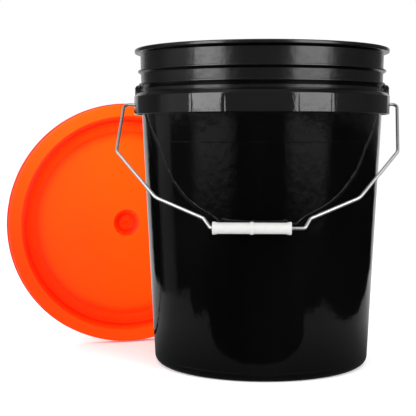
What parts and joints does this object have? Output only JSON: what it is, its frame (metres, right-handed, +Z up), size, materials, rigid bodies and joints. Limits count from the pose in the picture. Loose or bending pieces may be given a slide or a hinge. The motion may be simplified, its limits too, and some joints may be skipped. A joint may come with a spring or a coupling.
{
  "type": "plastic fermenting bucket",
  "caption": "Tapered round plastic pail with neck ribs, skirt band, wire bail with roller grip, and a separate press-on lid with gasket.",
  "frame": {"origin": "centre of the bucket's base, in the plane of the foot ring it stands on", "axes": "+Z up along the bucket's axis and out of its mouth; -Y is the front, where the bail hangs; +X is to the right seen from the front"},
  "size_m": [0.4839, 0.3139, 0.37],
  "materials": {
    "bucket_plastic": "satin gloss black polyethylene",
    "wire_steel": "zinc plated wire",
    "grip_plastic": "semi-matt white polyethylene",
    "lid_plastic": "satin orange polyethylene",
    "gasket_rubber": "matt black rubber"
  },
  "bodies": {
    "bucket": {"bucket": "bucket_plastic"},
    "bail": {"bail_wire": "wire_steel"},
    "grip": {"bail_grip": "grip_plastic"},
    "lid": {"lid": "lid_plastic", "lid_gasket": "gasket_rubber"}
  },
  "joints": [
    {"name": "bail_swing", "type": "hinge", "parent": "bucket", "child": "bail", "pos_m": [0, 0, 0.306], "axis": [-1, 0, 0], "range_deg": [0, 220]},
    {"name": "grip_spin", "type": "hinge", "parent": "bail", "child": "grip", "pos_m": [-0.0095, -0.14261, 0.17081], "axis": [1, 0, 0], "continuous": true},
    {"name": "lid_lift", "type": "slide", "parent": "bucket", "child": "lid", "axis": [-0.2418, 0.6645, 0.7071], "range_m": [0, 0.4]}
  ]
}
